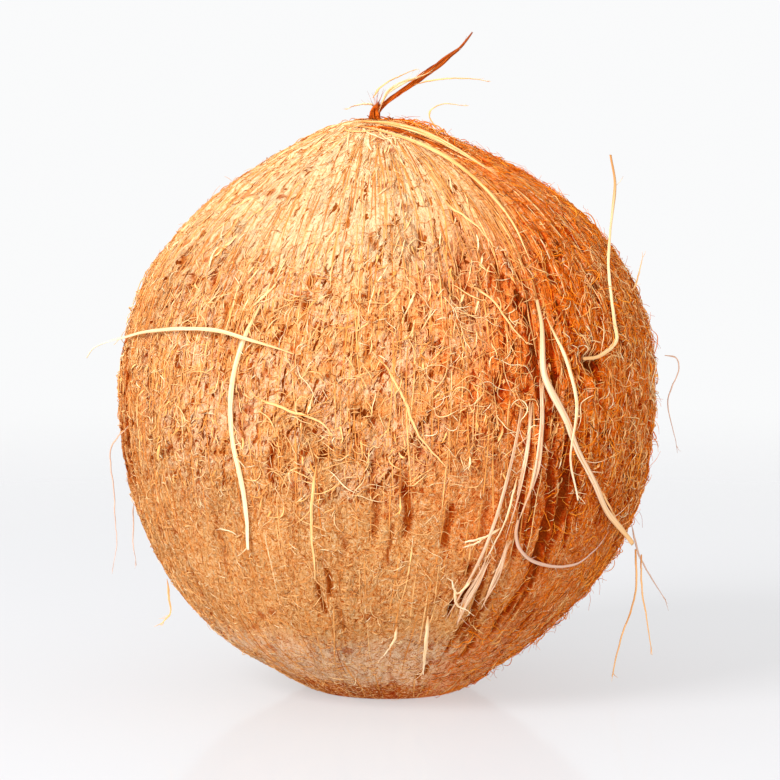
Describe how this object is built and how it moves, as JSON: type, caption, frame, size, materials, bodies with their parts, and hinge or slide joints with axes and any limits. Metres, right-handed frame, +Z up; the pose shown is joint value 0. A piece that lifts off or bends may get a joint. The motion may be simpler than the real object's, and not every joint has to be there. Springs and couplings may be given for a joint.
{
  "type": "coconut",
  "caption": "Whole brown coconut, husked to its fibrous shell, with a stalk tuft and loose coir fibres, standing on its flat resting spot.",
  "frame": {"origin": "centre of the flat resting spot, on the surface the nut stands on", "axes": "+Z up from the resting spot to the crown, -Y towards the side where the long loose fibres cross, +X towards the ridge they follow"},
  "size_m": [0.1179, 0.1079, 0.1314],
  "materials": {
    "husk_skin": "matt, fibrous and cracked, pale tan to orange brown",
    "stalk_fibre": "matt, red-brown twisted fibre",
    "golden_fibre": "dry golden coir fibre with a faint sheen",
    "suture_fibre": "matt grey-brown bundled fibre",
    "pale_fibre": "dry cream-coloured fibre with a faint sheen"
  },
  "bodies": {
    "root": {"nut": "husk_skin", "crown_tuft": "stalk_fibre", "crown_long_fibre": "golden_fibre", "crown_arc_fibre": "golden_fibre", "crown_left_fibre": "golden_fibre", "crown_curl": "golden_fibre", "rim_fibre": "golden_fibre", "rim_short_fibre": "golden_fibre", "left_thread_long": "golden_fibre", "left_thread_short": "golden_fibre", "left_foot_tag": "golden_fibre", "right_rear_strand": "golden_fibre", "right_curl": "golden_fibre", "suture_bundle_outer": "suture_fibre", "suture_bundle_inner": "suture_fibre", "suture_loop": "suture_fibre", "suture_foot_bundle": "suture_fibre", "ridge_strand": "pale_fibre", "ridge_tail_inner": "pale_fibre", "ridge_tail_outer": "pale_fibre", "ridge_twin": "pale_fibre", "ridge_companion": "pale_fibre", "upright_strand": "pale_fibre", "cross_strand": "pale_fibre", "hanging_strand": "pale_fibre", "shoulder_fibre": "pale_fibre", "upper_slant_fibre": "pale_fibre", "middle_slant_fibre": "pale_fibre", "left_slant_fibre": "pale_fibre", "foot_tag_left": "pale_fibre", "foot_tag_right": "pale_fibre"}
  },
  "joints": []
}
